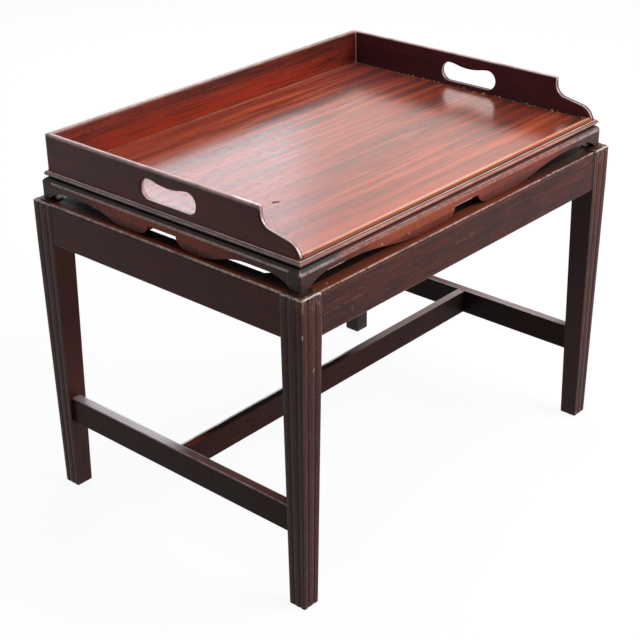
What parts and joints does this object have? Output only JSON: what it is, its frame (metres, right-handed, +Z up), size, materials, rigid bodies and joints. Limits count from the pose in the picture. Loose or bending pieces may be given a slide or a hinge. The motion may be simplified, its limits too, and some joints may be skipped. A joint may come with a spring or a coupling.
{
  "type": "butlers tray table",
  "caption": "Wooden butler's tray table: tapered reeded legs, rails, stretchers and a fretted frame carry a lift-off tray with hand-hole ends, a back wall and a low front lip.",
  "frame": {"origin": "middle of the table's footprint on the floor", "axes": "+X along the long side, +Y from the open front of the tray to its back wall, +Z up"},
  "size_m": [0.7516, 0.549, 0.6095],
  "materials": {
    "stand_wood": "satin",
    "frame_wood": "satin",
    "pad_wood": "satin",
    "wall_wood": "satin",
    "board_wood": "polished",
    "lip_wood": "satin",
    "moulding_wood": "satin",
    "inner_wood": "bare",
    "screw_metal": "satin"
  },
  "bodies": {
    "stand": {"leg_front_left": "stand_wood", "leg_front_right": "stand_wood", "leg_back_left": "stand_wood", "leg_back_right": "stand_wood", "rail_front": "stand_wood", "rail_back": "stand_wood", "rail_left": "stand_wood", "rail_right": "stand_wood", "ledger_front": "stand_wood", "ledger_back": "stand_wood", "ledger_left": "stand_wood", "ledger_right": "stand_wood", "corner_block_front_left": "stand_wood", "corner_block_front_right": "stand_wood", "corner_block_back_left": "stand_wood", "corner_block_back_right": "stand_wood", "end_stretcher_left": "stand_wood", "end_stretcher_right": "stand_wood", "centre_stretcher": "stand_wood", "frame_front": "frame_wood", "frame_back": "frame_wood", "frame_left": "frame_wood", "frame_right": "frame_wood", "pad_front_left": "pad_wood", "pad_front_right": "pad_wood", "pad_back_left": "pad_wood", "pad_back_right": "pad_wood", "frame_dowels": "inner_wood"},
    "tray": {"tray_board": "board_wood", "end_wall_left": "wall_wood", "end_wall_right": "wall_wood", "back_wall": "wall_wood", "front_lip": "lip_wood", "moulding_front": "moulding_wood", "moulding_back": "moulding_wood", "moulding_left": "moulding_wood", "moulding_right": "moulding_wood", "batten_left": "inner_wood", "batten_right": "inner_wood", "wall_screws": "screw_metal", "batten_screws": "screw_metal"}
  },
  "joints": [
    {"name": "tray_lift", "type": "slide", "parent": "stand", "child": "tray", "axis": [0, 0, 1], "range_m": [0, 0.3]}
  ]
}
